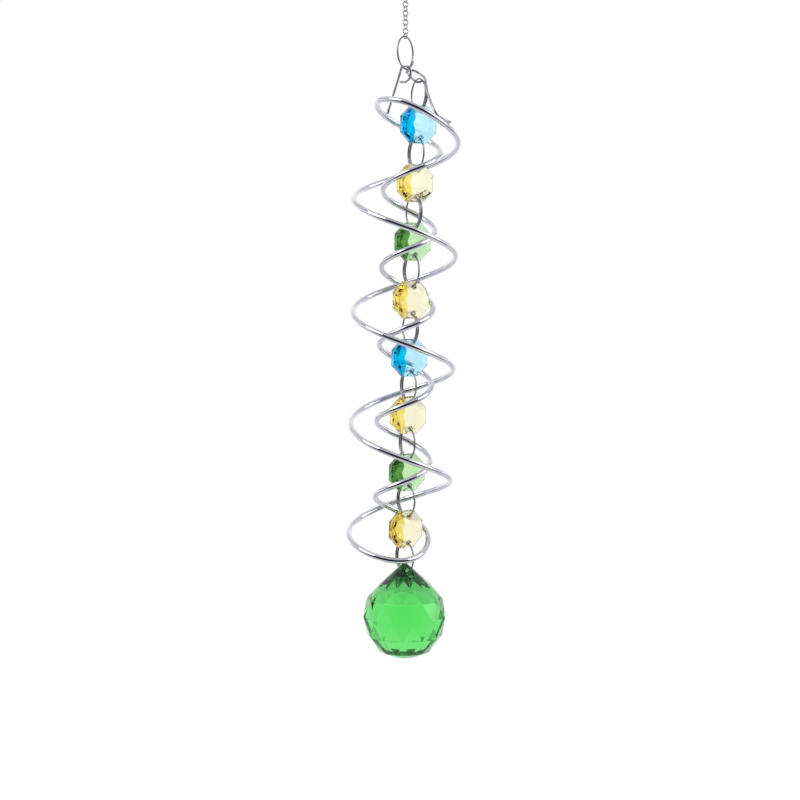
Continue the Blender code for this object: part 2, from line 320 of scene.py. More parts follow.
class WireTree(GeometryTree):
    """A round wire along a path or a coil, with rounded ends and its own coordinates."""

    SIZES = {"Wire": ("Float", 0.4 * MM), "Spacing": ("Float", 0.15 * MM), "Sides": ("Int", 16),
             "Material": ("Material", None)}
    WELD = 0.0005 * MM

    def sweep(self, curve: Sock, cyclic: bool) -> None:
        """Sweep a circle along a curve and end the tree.

        Args:
            curve: the middle line.
            cyclic: whether the wire is closed, with no ends to round.
        """
        if not cyclic:
            curve = self.node("GeometryNodeResampleCurve", {"mode": "LENGTH"},
                              {"Curve": curve, "Length": self.given("Spacing")})
        length = self.node("GeometryNodeSplineParameter").other("Length")
        curve = self.node("GeometryNodeStoreNamedAttribute", {"data_type": "FLOAT"},
                          {"Geometry": curve, "Name": "along", "Value": length})
        circle = self.node("GeometryNodeCurvePrimitiveCircle", {},
                           {"Resolution": self.given("Sides"), "Radius": self.given("Wire")})
        around = self.node("GeometryNodeSplineParameter").other("Factor")
        circle = self.node("GeometryNodeStoreNamedAttribute", {"data_type": "FLOAT"},
                           {"Geometry": circle, "Name": "around", "Value": around})
        swell = self.node("GeometryNodeInputNamedAttribute", {"data_type": "FLOAT"},
                          {"Name": "swell"})
        scale = 1.0 + (swell - 1.0) * swell.other("Exists")
        if not cyclic:
            total = self.node("GeometryNodeSplineLength").other("Length")
            from_end = length.lesser(total - length) / self.given("Wire")
            from_end = from_end.lesser(1.0).greater(0.0)
            scale = scale * (from_end * (2.0 - from_end)) ** 0.5
        tube = self.node("GeometryNodeCurveToMesh", {},
                         {"Curve": curve, "Profile Curve": circle, "Scale": scale})
        merged = self.node("GeometryNodeMergeByDistance", {},
                           {"Geometry": tube, "Distance": self.WELD})
        self.close(self.node("GeometryNodeSetShadeSmooth", {}, {"Geometry": merged}))


class PathWire(WireTree):
    """The wire tree that follows the edges of a mesh."""

    def __init__(self, cyclic: bool) -> None:
        """Build the tree; cyclic says whether the path is a closed loop."""
        super().__init__("closed_wire" if cyclic else "bent_wire", self.SIZES)
        self.sweep(self.node("GeometryNodeMeshToCurve", {}, {"Mesh": self.given("Geometry")}),
                   cyclic)


class CoilWire(WireTree):
    """The wire tree that winds a ring round Z, a little more or less than once."""

    STEPS = 128

    def __init__(self) -> None:
        """Build the tree."""
        super().__init__("wound_ring", {**self.SIZES, "Radius": ("Float", 5 * MM),
                                        "Turns": ("Float", 1.0), "Travel": ("Float", 0.0)})
        radius = self.given("Radius")
        coil = self.node("GeometryNodeCurveSpiral", {},
                         {"Resolution": self.STEPS, "Rotations": self.given("Turns"),
                          "Start Radius": radius, "End Radius": radius,
                          "Height": self.given("Travel"), "Reverse": True})
        self.sweep(coil, False)


# ------------------------------------------------------------------ finishes

@dataclass(frozen=True)
class MetalFinish:
    """Bright metal with faint drawn lines along the wire and handling marks.

    Attributes:
        name: the material's name.
        slot: the record's material slot.
        tone: its colour.
        dull_tone: its colour where it is handled or stained.
        polish: the least and the most roughness.
        marks: how many marks there are in a metre.
        drawn: the height of the drawn lines.
    """

    name: str
    slot: str
    tone: tuple[float, float, float]
    dull_tone: tuple[float, float, float]
    polish: tuple[float, float]
    marks: float = 260.0
    drawn: float = 0.004 * MM

    SMUDGE_EDGES = (0.42, 0.68)
    SMUDGE_SHARE = 0.55
    CLOUD_EDGES = (0.4, 0.75)
    CLOUD_SCALE = 0.18
    LINES_ALONG = 90.0
    LINES_AROUND = 26.0
    LINES_STRENGTH = 0.35

    def material(self) -> bpy.types.Material:
        """The finished material."""
        graph = SurfaceGraph(self.name)
        smudge = graph.noise(graph.place, self.marks, 3.0).ease(*self.SMUDGE_EDGES)
        cloud = graph.noise(graph.place, self.marks * self.CLOUD_SCALE).ease(*self.CLOUD_EDGES)
        worn = (smudge * self.SMUDGE_SHARE + cloud * (1.0 - self.SMUDGE_SHARE)).lesser(1.0)
        low, high = self.polish
        graph.dress(Metallic=1.0, Roughness=low + worn * (high - low),
                    Base_Color=graph.mix(worn, (*self.tone, 1.0), (*self.dull_tone, 1.0)))
        lines = graph.node("ShaderNodeCombineXYZ", {}, {
            0: graph.attribute("along") * self.LINES_ALONG,
            1: graph.attribute("around") * self.LINES_AROUND})
        graph.relief(graph.noise(lines, 1.0), self.LINES_STRENGTH, self.drawn)
        return graph.material


@dataclass(frozen=True)
class CrystalFinish:
    """Tinted lead crystal with a softened arris between its facets.

    Attributes:
        name: the material's name.
        slot: the record's material slot; not used.
        surface: the tint of the pale facets.
        shade: their second tone.
        painted_shade: painted shade, a deeper, darker tint on the facets of one side, standing in
            for light's longer path through the glass.
        deep: a second, darker tone of that painted shade.
        depth_tint: the colour that long paths through the glass take on.
        density: how fast it does, for each metre.
        hatch: how much of the fine polishing lines shows.
    """

    name: str
    slot: str
    surface: tuple[float, float, float]
    shade: tuple[float, float, float]
    painted_shade: tuple[float, float, float]
    deep: tuple[float, float, float]
    depth_tint: tuple[float, float, float]
    density: float
    hatch: float = 0.15

    IOR = 1.55
    # clear glass, then what haze, a softened arris and a polishing line add
    ROUGHNESS = (0.004, 0.012, 0.06, 0.09)
    ARRIS_WHITE = 0.35
    LINE_WHITE = 0.5
    FACET_SHARE = 0.7
    CLOUD_SHARE = 0.5
    HAZE_SCALE = 240.0
    HAZE_EDGES = (0.45, 0.8)
    CLOUD_SCALE = 500.0
    CLOUD_EDGES = (0.42, 0.6)
    DEEP_EDGES = (0.45, 0.75)
    LINE_SLOPES = (0.62, -0.85)
    LINE_EDGES = (0.57, 0.66)
    LINE_SCALE = (1500.0, 60.0, 90.0)
    RIPPLE_SCALE = 420.0
    RIPPLE_STRENGTH = 0.25
    RIPPLE_DEPTH = 0.006 * MM

    def material(self) -> bpy.types.Material:
        """The finished material."""
        graph = SurfaceGraph(self.name)
        # the third attribute is 1 on the facets that get painted shade, 0 elsewhere
        arris, facet, side = (graph.attribute(name) for name in ("arris", "facet", "painted_shade"))
        haze = graph.noise(graph.place, self.HAZE_SCALE).ease(*self.HAZE_EDGES)
        clouds = graph.noise(graph.place, self.CLOUD_SCALE, 1.0).ease(*self.CLOUD_EDGES)
        pale = graph.mix(facet, (*self.surface, 1.0), (*self.shade, 1.0))
        # painted shade: one side's facets take a deeper tint in two tones, mixed by facet and
        # cloud, in place of light darkening through the glass
        depth = (facet * self.FACET_SHARE + clouds * self.CLOUD_SHARE).ease(*self.DEEP_EDGES)
        painted_shade_tint = graph.mix(depth, (*self.painted_shade, 1.0), (*self.deep, 1.0))
        one_way, other_way = (self.lines(graph, slope) for slope in self.LINE_SLOPES)
        lines = one_way.greater(other_way) * (1.0 - side) * self.hatch
        clear, hazy, soft, lined = self.ROUGHNESS
        whitened = (arris * self.ARRIS_WHITE + lines * self.LINE_WHITE).lesser(1.0)
        graph.dress(IOR=self.IOR, Transmission_Weight=1.0,
                    Roughness=clear + haze * hazy + arris * soft + lines * lined,
                    Base_Color=graph.mix(whitened, graph.mix(side, pale, painted_shade_tint),
                                         (1.0, 1.0, 1.0, 1.0)))
        graph.relief(graph.noise(graph.place, self.RIPPLE_SCALE, 1.0), self.RIPPLE_STRENGTH,
                     self.RIPPLE_DEPTH)
        glass = graph.node("ShaderNodeVolumeAbsorption", {},
                           {"Color": (*self.depth_tint, 1.0), "Density": self.density})
        graph.feed(graph.tree.nodes["Material Output"].inputs["Volume"], glass)
        return graph.material

    @classmethod
    def lines(cls, graph: SurfaceGraph, slope: float) -> Sock:
        """Fine polishing lines that run one way over the facets.

        Args:
            graph: the material's node maker.
            slope: how far the lines lean from upright.

        Returns:
            1 on a line, 0 off it.
        """
        split = graph.node("ShaderNodeSeparateXYZ", {}, {0: graph.place})
        x, y, z = split, split.other(1), split.other(2)
        fine, long, deep = cls.LINE_SCALE
        across = graph.node("ShaderNodeCombineXYZ", {}, {
            0: (x + z * slope) * fine, 1: (z - x * slope) * long, 2: y * deep})
        return graph.noise(across, 1.0, 1.0).ease(*cls.LINE_EDGES)


POLISHED_STEEL = MetalFinish("polished_steel", "polished_steel", (0.76, 0.77, 0.79),
                             (0.60, 0.61, 0.63), (0.08, 0.20))
CHAIN_STEEL = MetalFinish("chain_steel", "chain_steel", (0.42, 0.42, 0.43), (0.30, 0.30, 0.31),
                          (0.26, 0.40), 700.0, 0.002 * MM)
RING_STEEL = MetalFinish("ring_steel", "ring_steel", (0.42, 0.42, 0.43), (0.28, 0.28, 0.29),
                         (0.22, 0.38), 420.0, 0.003 * MM)
SPIRAL_CHROME = MetalFinish("spiral_chrome", "spiral_chrome", (0.86, 0.86, 0.89),
                            (0.76, 0.76, 0.80), (0.06, 0.15), 180.0)
HANGER_STEEL = MetalFinish("hanger_steel", "spiral_chrome", (0.55, 0.55, 0.58),
                           (0.42, 0.42, 0.45), (0.16, 0.30), 420.0, 0.003 * MM)


class Crystal(Enum):
    """The crystals' colours."""

    # The third and fourth colours of each crystal are painted shade: a deeper tint on one side of
    # each bead, and a near-black green on the ball's tip.
    BLUE = CrystalFinish(
        "blue_crystal", "blue_crystal", (0.66, 0.93, 1.0), (0.56, 0.90, 1.0),
        (0.0, 0.42, 0.92), (0.0, 0.27, 0.62), (0.1, 0.80, 1.0), 50.0)
    YELLOW = CrystalFinish(
        "yellow_crystal", "yellow_crystal", (0.99, 0.97, 0.84), (0.98, 0.95, 0.76),
        (1.0, 0.72, 0.12), (0.88, 0.56, 0.03), (1.0, 0.94, 0.30), 50.0)
    GREEN = CrystalFinish(
        "green_crystal", "green_crystal", (0.72, 0.94, 0.64), (0.62, 0.89, 0.54),
        (0.03, 0.16, 0.012), (0.012, 0.07, 0.005), (0.20, 0.72, 0.10), 50.0)
    EMERALD = CrystalFinish(
        "emerald_crystal", "emerald_crystal", (0.88, 1.0, 0.88), (0.82, 0.98, 0.83),
        (0.016, 0.10, 0.026), (0.003, 0.022, 0.006), (0.08, 0.91, 0.16), 76.0, 0.5)


# ------------------------------------------------------------------ places

@dataclass(frozen=True)
class Joint:
    """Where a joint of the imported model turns."""

    pivot: Vector
    axis: Vector

    @classmethod
    def named(cls, name: str) -> "Joint":
        """The joint of that name."""
        row = next(row for row in frame["joints"] if row["name"] == name)
        return cls(Vector(row["pos_m"]), Vector(row["axis"]))


def heading(turn: float) -> Vector:
    """The level direction that lies turn round from +X."""
    return Vector((math.cos(turn), math.sin(turn), 0.0))


def smooth_path(stations: Sequence[Vector], steps: int) -> list[Vector]:
    """Points on a curve that passes smoothly through its stations.

    Args:
        stations: the points to pass through.
        steps: points from one station to the next.

    Returns:
        The points, the last station among them.
    """
    points = []
    last = len(stations) - 1
    for number in range(last):
        before, start, end, after = (Vector(stations[min(max(number + i, 0), last)])
                                     for i in (-1, 0, 1, 2))
        for step in range(steps):
            t = step / steps
            points.append(0.5 * (2 * start + (end - before) * t
                                 + (2 * before - 5 * start + 4 * end - after) * t ** 2
                                 + (3 * start - before - 3 * end + after) * t ** 3))
    points.append(Vector(stations[last]))
    return points


def line_mesh(points: Sequence[Vector], closed: bool, swell: Sequence[float] | None = None
              ) -> bpy.types.Mesh:
    """A chain of edges along points.

    Args:
        points: the points.
        closed: whether the last is joined to the first.
        swell: how many times fatter than its wire each point is.

    Returns:
        The mesh, with its swell as an attribute.
    """
    mesh = bpy.data.meshes.new("path")
    count = len(points)
    edges = [(i, (i + 1) % count) for i in range(count if closed else count - 1)]
    mesh.from_pydata([tuple(point) for point in points], edges, [])
    layer = mesh.attributes.new("swell", "FLOAT", "POINT")
    layer.data.foreach_set("value", list(swell) if swell else [1.0] * count)
    return mesh


class Workshop:
    """The trees and materials that the sub-assemblies share."""

    def __init__(self) -> None:
        """Build the trees once."""
        self.bent = PathWire(False)
        self.closed = PathWire(True)
        self.coil = CoilWire()
        self.empty = bpy.data.meshes.new("empty")
        self.materials: dict[str, bpy.types.Material] = {}

    def material(self, finish: MetalFinish | CrystalFinish) -> bpy.types.Material:
        """A finish's material, made the first time it is asked for."""
        if finish.name not in self.materials:
            self.materials[finish.name] = finish.material()
        return self.materials[finish.name]

    def wire(self, points: Sequence[Vector], radius: float, finish: MetalFinish,
             closed: bool = False, swell: Sequence[float] | None = None, sides: int = 16
             ) -> bpy.types.Mesh:
        """A wire along points, in metres."""
        tree = self.closed if closed else self.bent
        return tree.run(line_mesh(points, closed, swell),
                        {"Wire": radius, "Spacing": radius * 0.3, "Sides": sides,
                         "Material": self.material(finish)})

    def ring(self, size: "RingSize", finish: MetalFinish) -> bpy.types.Mesh:
        """A wound ring round Z, in metres."""
        return self.coil.run(self.empty, {
            "Wire": size.wire * MM, "Spacing": size.wire * MM * 0.35, "Sides": size.sides,
            "Radius": size.radius * MM, "Turns": size.turns,
            "Travel": -size.travel * size.turns * MM, "Material": self.material(finish)})

    def hand_over(self, node: str, body: str, finish: MetalFinish | CrystalFinish,
                  mesh: bpy.types.Mesh) -> None:
        """Make a finished mesh the piece that stands for a node.

        Args:
            node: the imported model's node.
            body: the body that the piece rides on.
            finish: its finish.
            mesh: its mesh, in place.
        """
        mesh.name = f"{node}_finished"
        piece = add_object(f"{node}_finished", mesh)
        if not mesh.materials:
            mesh.materials.append(self.material(finish))
        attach(piece, body)
        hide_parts(node)
        LOG.info("%s rides on %s, %d faces", piece.name, body, len(mesh.polygons))


@dataclass(frozen=True)
class RingSize:
    """A ring wound from wire, in millimetres.

    Attributes:
        radius: to the middle of the wire.
        wire: the wire's radius.
        turns: how often it goes round; under 1 its ends nearly meet.
        travel: how far the wire moves sideways in one turn.
        sides: sides of the wire.
    """

    radius: float
    wire: float
    turns: float
    travel: float = 0.0
    sides: int = 16

    def placement(self, centre: Vector, turn: float, ends_at: float) -> Matrix:
        """Where an upright ring goes.

        Args:
            centre: its centre.
            turn: the heading of its plane.
            ends_at: the angle of its ends or gap, up from its level side.

        Returns:
            The matrix from a coil round Z.
        """
        start = ends_at + (1.0 - self.turns) * math.pi
        along = heading(turn)
        up = Vector((0.0, 0.0, 1.0))
        first = math.cos(start) * along + math.sin(start) * up
        second = math.cos(start) * up - math.sin(start) * along
        third = first.cross(second)
        turned = Matrix((first, second, third)).transposed().to_4x4()
        middle = Matrix.Translation((0, 0, self.travel * self.turns * MM / 2))
        return Matrix.Translation(centre) @ turned @ middle


# ------------------------------------------------------------------ swivel and chain

@dataclass
class HangRing:
    """The plain ring that the spinner hangs by."""

    shop: Workshop
    size: RingSize = RingSize(7.4, 0.6, 0.9965, 0.0, 24)
    gap_at: float = math.radians(24)

    def build(self) -> None:
        """Make the ring."""
        centre = Vector((0, 0, self.size.wire - self.size.radius)) * MM
        mesh = self.shop.ring(self.size, POLISHED_STEEL)
        mesh.transform(self.size.placement(centre, 0.0, self.gap_at))
        self.shop.hand_over("hang_ring", "hook_ring", POLISHED_STEEL, mesh)


@dataclass
class Swivel:
    """A barrel with a headed eye in each end. Sizes in millimetres."""

    shop: Workshop
    eye_wire: float = 0.4
    upper_eye: float = 1.9
    lower_eye: float = 1.6
    lower_turn: float = math.radians(-57)
    barrel: float = 1.9
    bore: float = 1.4
    length: float = 6.0
    lip: float = 0.7
    hole: float = 0.7
    stem: float = 1.4
    head: float = 2.7
    air: float = 0.25
    ring_wire: float = 0.6
    eye_opening: float = 0.28 * math.pi
    eye_steps: int = 40
    shoulder: float = 0.38
    shoulder_steps: int = 6
    grooves: tuple[float, ...] = (1.25, 0.0)
    groove_top: float = 0.22
    groove_floor: float = 0.1
    groove_depth: float = 0.14
    mouth: float = 0.08

    def __post_init__(self) -> None:
        """Work out the heights, from the joints."""
        ring_bottom = Joint.named("swivel_swing").pivot.z / MM
        self.barrel_bottom = Joint.named("swivel_spin").pivot.z / MM
        self.barrel_top = self.barrel_bottom + self.length
        self.upper_centre = ring_bottom + self.ring_wire + self.eye_wire + self.air - self.upper_eye
        self.lower_centre = self.barrel_bottom - self.stem - self.lower_eye

    def eye(self, centre: float, radius: float, turn: float, side: int, end: float
            ) -> bpy.types.Mesh:
        """An eye, its stem and its rivet head.

        Args:
            centre: the eye's height.
            radius: to the middle of its wire.
            turn: the heading of its plane.
            side: 1 where it stands above the barrel, -1 below.
            end: the height of the barrel's end that it leaves.

        Returns:
            The mesh.
        """
        up = Vector((0, 0, 1))
        head_height = end - side * (self.lip + self.air + self.eye_wire)
        heights = [head_height - side * self.eye_wire, head_height,
                   head_height + side * self.eye_wire * 0.9,
                   head_height + side * self.eye_wire * 1.05, end, end + side * self.stem * 0.55]
        swell = [self.head, self.head, self.head, 1.0, 1.0, 1.0]
        points = [up * height for height in heights]
        start = self.eye_opening / 2 - math.pi / 2
        sweep = math.tau - self.eye_opening
        for step in range(self.eye_steps + 1):
            angle = side * (start + sweep * step / self.eye_steps)
            points.append(up * centre + radius * (math.cos(angle) * heading(turn)
                                                  + math.sin(angle) * up))
            swell.append(1.0)
        return self.shop.wire([point * MM for point in points], self.eye_wire * MM,
                              POLISHED_STEEL, swell=swell)

    def turned_barrel(self) -> bpy.types.Mesh:
        """The barrel's wall: a lathe-turned shell with grooves and rounded ends."""
        half = self.length / 2
        shoulder = self.barrel * self.shoulder
        outer = [(self.hole + self.mouth, half), (self.barrel - shoulder, half)]
        for step in range(1, self.shoulder_steps + 1):
            angle = step / self.shoulder_steps * math.pi / 2
            outer.append((self.barrel - shoulder * (1 - math.sin(angle)),
                          half - self.lip * (1 - math.cos(angle))))
        floor = self.barrel - self.groove_depth
        for groove in self.grooves:
            outer += [(self.barrel, groove + self.groove_top), (floor, groove + self.groove_floor),
                      (floor, groove - self.groove_floor if groove else 0.0)]
            if groove:
                outer.append((self.barrel, groove - self.groove_top))
        inner = [(self.hole, half - self.mouth), (self.hole, half - self.lip),
                 (self.bore, half - self.lip)]
        profile = outer + [(radius, -height) for radius, height in reversed(outer) if height > 0.01]
        profile += [(radius, -height) for radius, height in inner] + list(reversed(inner))
        return lathe(profile, 48, Vector((0, 0, (self.barrel_top + self.barrel_bottom) / 2)))

    def build(self) -> None:
        """Make the three pieces."""
        upper = self.eye(self.upper_centre, self.upper_eye, math.pi / 2, 1, self.barrel_top)
        self.shop.hand_over("swivel_upper_eye", "swivel", POLISHED_STEEL, upper)
        self.shop.hand_over("swivel_barrel", "swivel", POLISHED_STEEL, self.turned_barrel())
        lower = self.eye(self.lower_centre, self.lower_eye, self.lower_turn, -1, self.barrel_bottom)
        self.shop.hand_over("swivel_lower_eye", "swivel_eye", POLISHED_STEEL, lower)


SHARP_ANGLE = math.radians(35)


def lathe(profile: Sequence[tuple[float, float]], sides: int, centre: Vector) -> bpy.types.Mesh:
    """Turn a closed profile round Z.

    Args:
        profile: radius and height of each corner, in millimetres.
        sides: steps round the axis.
        centre: what the heights are measured from, in millimetres.

    Returns:
        The mesh in metres, with the wire coordinates that the metal reads.
    """
    shape = bmesh.new()
    rows = [[shape.verts.new((heading(math.tau * side / sides) * radius
                              + Vector((0, 0, height)) + centre) * MM)
             for side in range(sides)] for radius, height in profile]
    for row, after in zip(rows, rows[1:] + rows[:1]):
        for side in range(sides):
            ahead = (side + 1) % sides
            face = shape.faces.new((row[side], row[ahead], after[ahead], after[side]))
            face.smooth = True
    bmesh.ops.recalc_face_normals(shape, faces=shape.faces)
    mesh = plain_mesh("turned", shape)
    mesh.set_sharp_from_angle(angle=SHARP_ANGLE)
    around = mesh.attributes.new("around", "FLOAT", "POINT")
    around.data.foreach_set("value", [vertex.co.z / MM for vertex in mesh.vertices])
    return mesh


@dataclass
class Chain:
    """Ten butted links, each turned a quarter from the next."""

    shop: Workshop
    size: RingSize = RingSize(1.01, 0.17, 0.985, 0.0, 12)
    count: int = 10
    odd_turn: float = math.radians(33)
    even_turn: float = math.radians(-57)
    air: float = 0.12
    eye_wire: float = 0.4

    def build(self) -> None:
        """Make the links."""
        hook_wire = self.eye_wire
        for number in range(1, self.count + 1):
            pivot = Joint.named(f"link_{number:02d}_hinge").pivot
            drop = self.size.radius - hook_wire - self.size.wire - self.air
            turn = self.odd_turn if number % 2 else self.even_turn
            mesh = self.shop.ring(self.size, CHAIN_STEEL)
            gap_at = math.pi if number % 3 else 0.0
            mesh.transform(self.size.placement(pivot - Vector((0, 0, drop)) * MM, turn, gap_at))
            self.shop.hand_over(f"chain_link_{number:02d}", f"link_{number:02d}", CHAIN_STEEL, mesh)
            hook_wire = self.size.wire


SPLIT_RING = RingSize(5.675, 0.325, 1.3, 0.74)
TOP_SPLIT_RING = RingSize(5.675, 0.325, 1.13, -0.55)


@dataclass
class TopRing:
    """The split ring below the chain."""

    shop: Workshop
    turn: float = math.radians(60)
    doubled_at: float = math.radians(-50)
    link_wire: float = 0.17
    air: float = 0.25

    def build(self) -> None:
        """Make the ring."""
        size = TOP_SPLIT_RING
        drop = size.radius - size.wire - self.link_wire - self.air
        centre = Joint.named("top_ring_hinge").pivot - Vector((0, 0, drop)) * MM
        mesh = self.shop.ring(size, RING_STEEL)
        mesh.transform(size.placement(centre, self.turn, self.doubled_at))
        self.shop.hand_over("top_split_ring", "top_ring", RING_STEEL, mesh)


# ------------------------------------------------------------------ spiral

@dataclass(frozen=True)
class Station:
    """A place that the spiral's wire passes: turns, height, radius and axis offset."""

    turn: float
    height: float
    radius: float
    axis: float

    def values(self) -> tuple[float, float, float]:
        """What changes from turn to turn: height, radius and axis offset."""
        return self.height, self.radius, self.axis


@dataclass
class Spiral:
    """One closed wire, up an inner coil and down an outer one, with its two hangers."""

    shop: Workshop
    wire: float = 1.05
    hanger: float = 0.42
    outer_axis: float = 1.15
    inner_axis: float = 2.3
    outer_radius: float = 18.15
    inner_radius: float = 9.45
    inner_turns: int = 5
    outer_turns: float = 3.5
    inner_low: float = -166.7
    inner_high: float = -29.0
    inner_tip: float = 0.3
    outer_high: float = -25.6
    outer_low: float = -166.4
    top_bulge: float = 0.6
    foot_flare: float = 0.6
    flare_turns: int = 3
    steps: int = 110
    air: float = 0.25
    sink: float = 0.55
    knee_air: float = 0.1
    bend_steps: int = 12
    back_rise: tuple[float, ...] = (0.08, 0.45, 0.85)
    front_braze: float = 1.6
    front_swell: float = 1.3
    back_foot: float = 5.39
    front_feet: tuple[float, ...] = (5.85, 5.87, 5.89, 5.905)
    front_lifts: tuple[float, ...] = (0.0, 0.0, 0.25, 0.9)
    over: tuple[Station, ...] = (Station(5.25, -20.8, 10.2, 2.0), Station(5.5, -13.3, 11.5, 1.7),
                                 Station(5.62, -11.6, 12.8, 1.6), Station(5.75, -13.4, 14.6, 1.5))
    under: tuple[Station, ...] = (Station(9.75, -173.3, 14.4, 1.6),)
    back_eye: tuple[tuple[float, float, float], ...] = (
        (-1.33, 0.5, 0.6), (0.1, -0.05, 1.02), (1.45, -0.6, 0.25), (1.9, -0.68, -1.2),
        (1.6, -0.6, -2.9), (0.7, -0.3, -4.1), (-0.55, 0.5, -4.5), (-1.95, 1.75, -4.3))
    front_eye: tuple[tuple[float, float, float], ...] = (
        (6.2, -0.3, -3.8), (5.4, -0.35, -4.35), (4.4, -0.4, -4.5), (3.1, -1.1, -3.9),
        (1.7, -1.8, -2.7), (0.8, -1.3, -1.7), (0.45, -0.25, -1.0), (1.5, 0.65, -0.4),
        (2.7, 0.9, -0.3), (4.0, 0.5, -0.8), (5.6, -0.3, -1.9), (6.7, -2.4, -3.1),
        (7.2, -5.2, -4.9), (7.5, -7.4, -7.6), (8.7, -10.0, -11.3), (9.9, -12.3, -14.5))
    stations: list[Station] = field(default_factory=list)

    def __post_init__(self) -> None:
        """List the stations and find the leaning frame."""
        axis = Joint.named("ring_1_twist").axis
        self.lean = Matrix.Rotation(math.atan2(axis.x, axis.z), 4, "Y")
        self.frame = Matrix.Translation(Joint.named("spiral_swing").pivot) @ self.lean
        climb = [self.inner_station(turn) for turn in range(self.inner_turns)]
        climb.append(Station(self.inner_turns, self.inner_high, self.inner_radius + self.top_bulge,
                             self.inner_axis + self.top_bulge))
        descent = [self.outer_station(turn) for turn in (6.0, 7.0, 8.0, 9.0, 9.5)]
        self.stations = climb + list(self.over) + descent + list(self.under)
        self.period = self.inner_turns + 5

    def inner_station(self, turn: float) -> Station:
        """A station on the inner coil."""
        height = self.inner_low + (self.inner_high - self.inner_low) * turn / self.inner_turns
        flare = self.foot_flare * max(0.0, 1.0 - turn / self.flare_turns)
        return Station(turn, height, self.inner_radius + flare, self.inner_axis - flare)

    def outer_station(self, turn: float) -> Station:
        """A station on the outer coil."""
        share = (turn - self.inner_turns - 1) / self.outer_turns
        return Station(turn, self.outer_high + (self.outer_low - self.outer_high) * share,
                       self.outer_radius, self.outer_axis)

    def around_station(self, number: int) -> Station:
        """A station by number; past the last one the wire starts again."""
        lap, index = divmod(number, len(self.stations))
        base = self.stations[index]
        return Station(base.turn + lap * self.period, *base.values())

    def point(self, turn: float) -> Vector:
        """Where the middle line is, in millimetres in the leaning frame.

        Args:
            turn: turns up from the inner coil's foot.

        Returns:
            The point.
        """
        turn %= self.period
        index = max(i for i, station in enumerate(self.stations) if station.turn <= turn)
        before, start, end, after = (self.around_station(index + i) for i in (-1, 0, 1, 2))
        span = end.turn - start.turn
        t = (turn - start.turn) / span
        values = []
        for a, b, c, d in zip(before.values(), start.values(), end.values(), after.values()):
            leave = (c - a) / (end.turn - before.turn) * span
            arrive = (d - b) / (after.turn - start.turn) * span
            values.append((2 * t ** 3 - 3 * t ** 2 + 1) * b + (t ** 3 - 2 * t ** 2 + t) * leave
                          + (3 * t ** 2 - 2 * t ** 3) * c + (t ** 3 - t ** 2) * arrive)
        height, radius, axis = values
        half = self.inner_turns / 2
        share = max(0.0, 1.0 - abs(turn - half) / half) ** 0.25
        angle = math.tau * turn
        height -= self.inner_tip * math.cos(angle) * share
        return Vector((axis + radius * math.cos(angle), radius * math.sin(angle), height))

    def above(self, turn: float, distance: float) -> Vector:
        """A point square off the strand, on its upper side, in millimetres."""
        little = 0.005
        ahead = (self.point(turn + little) - self.point(turn - little)).normalized()
        up = Vector((0, 0, 1))
        return self.point(turn) + (up - ahead * up.dot(ahead)).normalized() * distance

    def hand_wire(self, node: str, points: Sequence[Vector], radius: float, finish: MetalFinish,
                  **options: Any) -> None:
        """Sweep a wire in the leaning frame and hand it over."""
        mesh = self.shop.wire([point * MM for point in points], radius * MM, finish, **options)
        mesh.transform(self.frame)
        self.shop.hand_over(node, "spiral", finish, mesh)

    @staticmethod
    def blob(points: Sequence[Vector], at_end: bool, reach: float = 2.2, most: float = 0.55
             ) -> list[float]:
        """How the braze swells a hanger towards its foot.

        Args:
            points: the hanger's middle line.
            at_end: whether the foot is its last point.
            reach: how far from the foot the braze runs, in millimetres.
            most: how much fatter the wire is at the foot.

        Returns:
            How many times fatter than its wire each point is.
        """
        foot = points[-1] if at_end else points[0]
        shares = [max(0.0, 1.0 - (point - foot).length / reach) for point in points]
        return [1.0 + most * share * share * (3 - 2 * share) for share in shares]

    def build(self) -> None:
        """Make the spiral and its hangers."""
        count = self.steps * self.period
        points = [self.point(step / self.steps) for step in range(count)]
        self.hand_wire("spiral_wire", points, self.wire, SPIRAL_CHROME, closed=True, sides=28)

        resting = self.wire + self.hanger * self.sink
        knee = Vector(self.back_eye[0])
        foot = self.above(self.back_foot, self.wire + self.hanger + self.air + self.knee_air)
        stations = [self.above(self.back_foot, resting)]
        stations += [foot.lerp(knee, share) for share in self.back_rise]
        stations += [Vector(point) for point in self.back_eye]
        back = smooth_path(stations, self.bend_steps)
        self.hand_wire("hanger_wire_back", back, self.hanger, HANGER_STEEL,
                       swell=self.blob(back, False))

        stations = [Vector(point) for point in self.front_eye]
        stations += [self.above(turn, resting + lift)
                     for turn, lift in zip(self.front_feet, self.front_lifts)]
        front = smooth_path(stations, self.bend_steps)
        end = self.bend_steps
        swell = self.blob(front[:-end], True, self.front_braze) + [self.front_swell] * end
        self.hand_wire("hanger_wire_front", front, self.hanger, HANGER_STEEL, swell=swell)


# ------------------------------------------------------------------ crystals

def corner_ring(radius: float, sides: int, offset: float) -> Iterator[tuple[float, float]]:
    """Corners evenly round a circle; offset is in steps."""
    for side in range(sides):
        angle = (side + offset) * math.tau / sides
        yield radius * math.cos(angle), radius * math.sin(angle)


